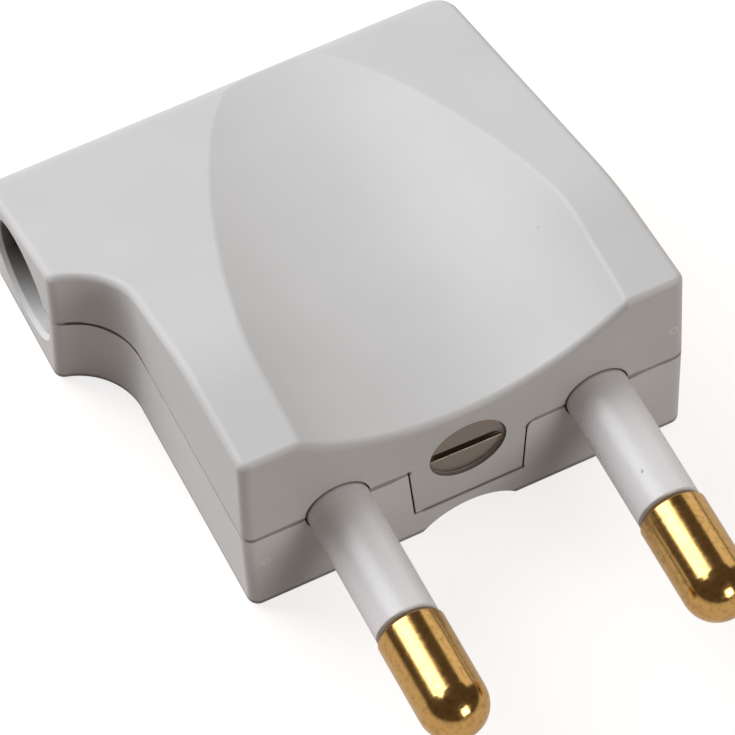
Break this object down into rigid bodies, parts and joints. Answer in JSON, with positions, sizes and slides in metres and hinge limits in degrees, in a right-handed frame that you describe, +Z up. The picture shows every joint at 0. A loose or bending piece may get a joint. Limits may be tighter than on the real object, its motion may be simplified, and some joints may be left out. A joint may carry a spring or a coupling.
{
  "type": "angled plug",
  "caption": "Flat rewirable mains plug with sleeved round pins, a sloped cover with a thumb dish and a cord entry turned to the side.",
  "frame": {"origin": "on the base's flat underside, midway along the housing's depth and midway between the pins", "axes": "+X along the row of pins, away from the cord entry; +Y from the pins to the back; +Z up through the cover"},
  "size_m": [0.0365, 0.0516, 0.0174],
  "materials": {
    "housing": "satin",
    "sleeve": "satin",
    "brass": "polished",
    "steel": "satin",
    "clamp": "matte"
  },
  "bodies": {
    "root": {"base": "housing", "cover": "housing", "pin_left": "brass", "pin_right": "brass", "sleeve_left": "sleeve", "sleeve_right": "sleeve", "closing_screw": "steel", "closing_nut": "steel", "terminal_screw_left": "steel", "terminal_screw_right": "steel", "cord_clamp_bar": "clamp", "cord_clamp_screw": "steel"}
  },
  "joints": []
}
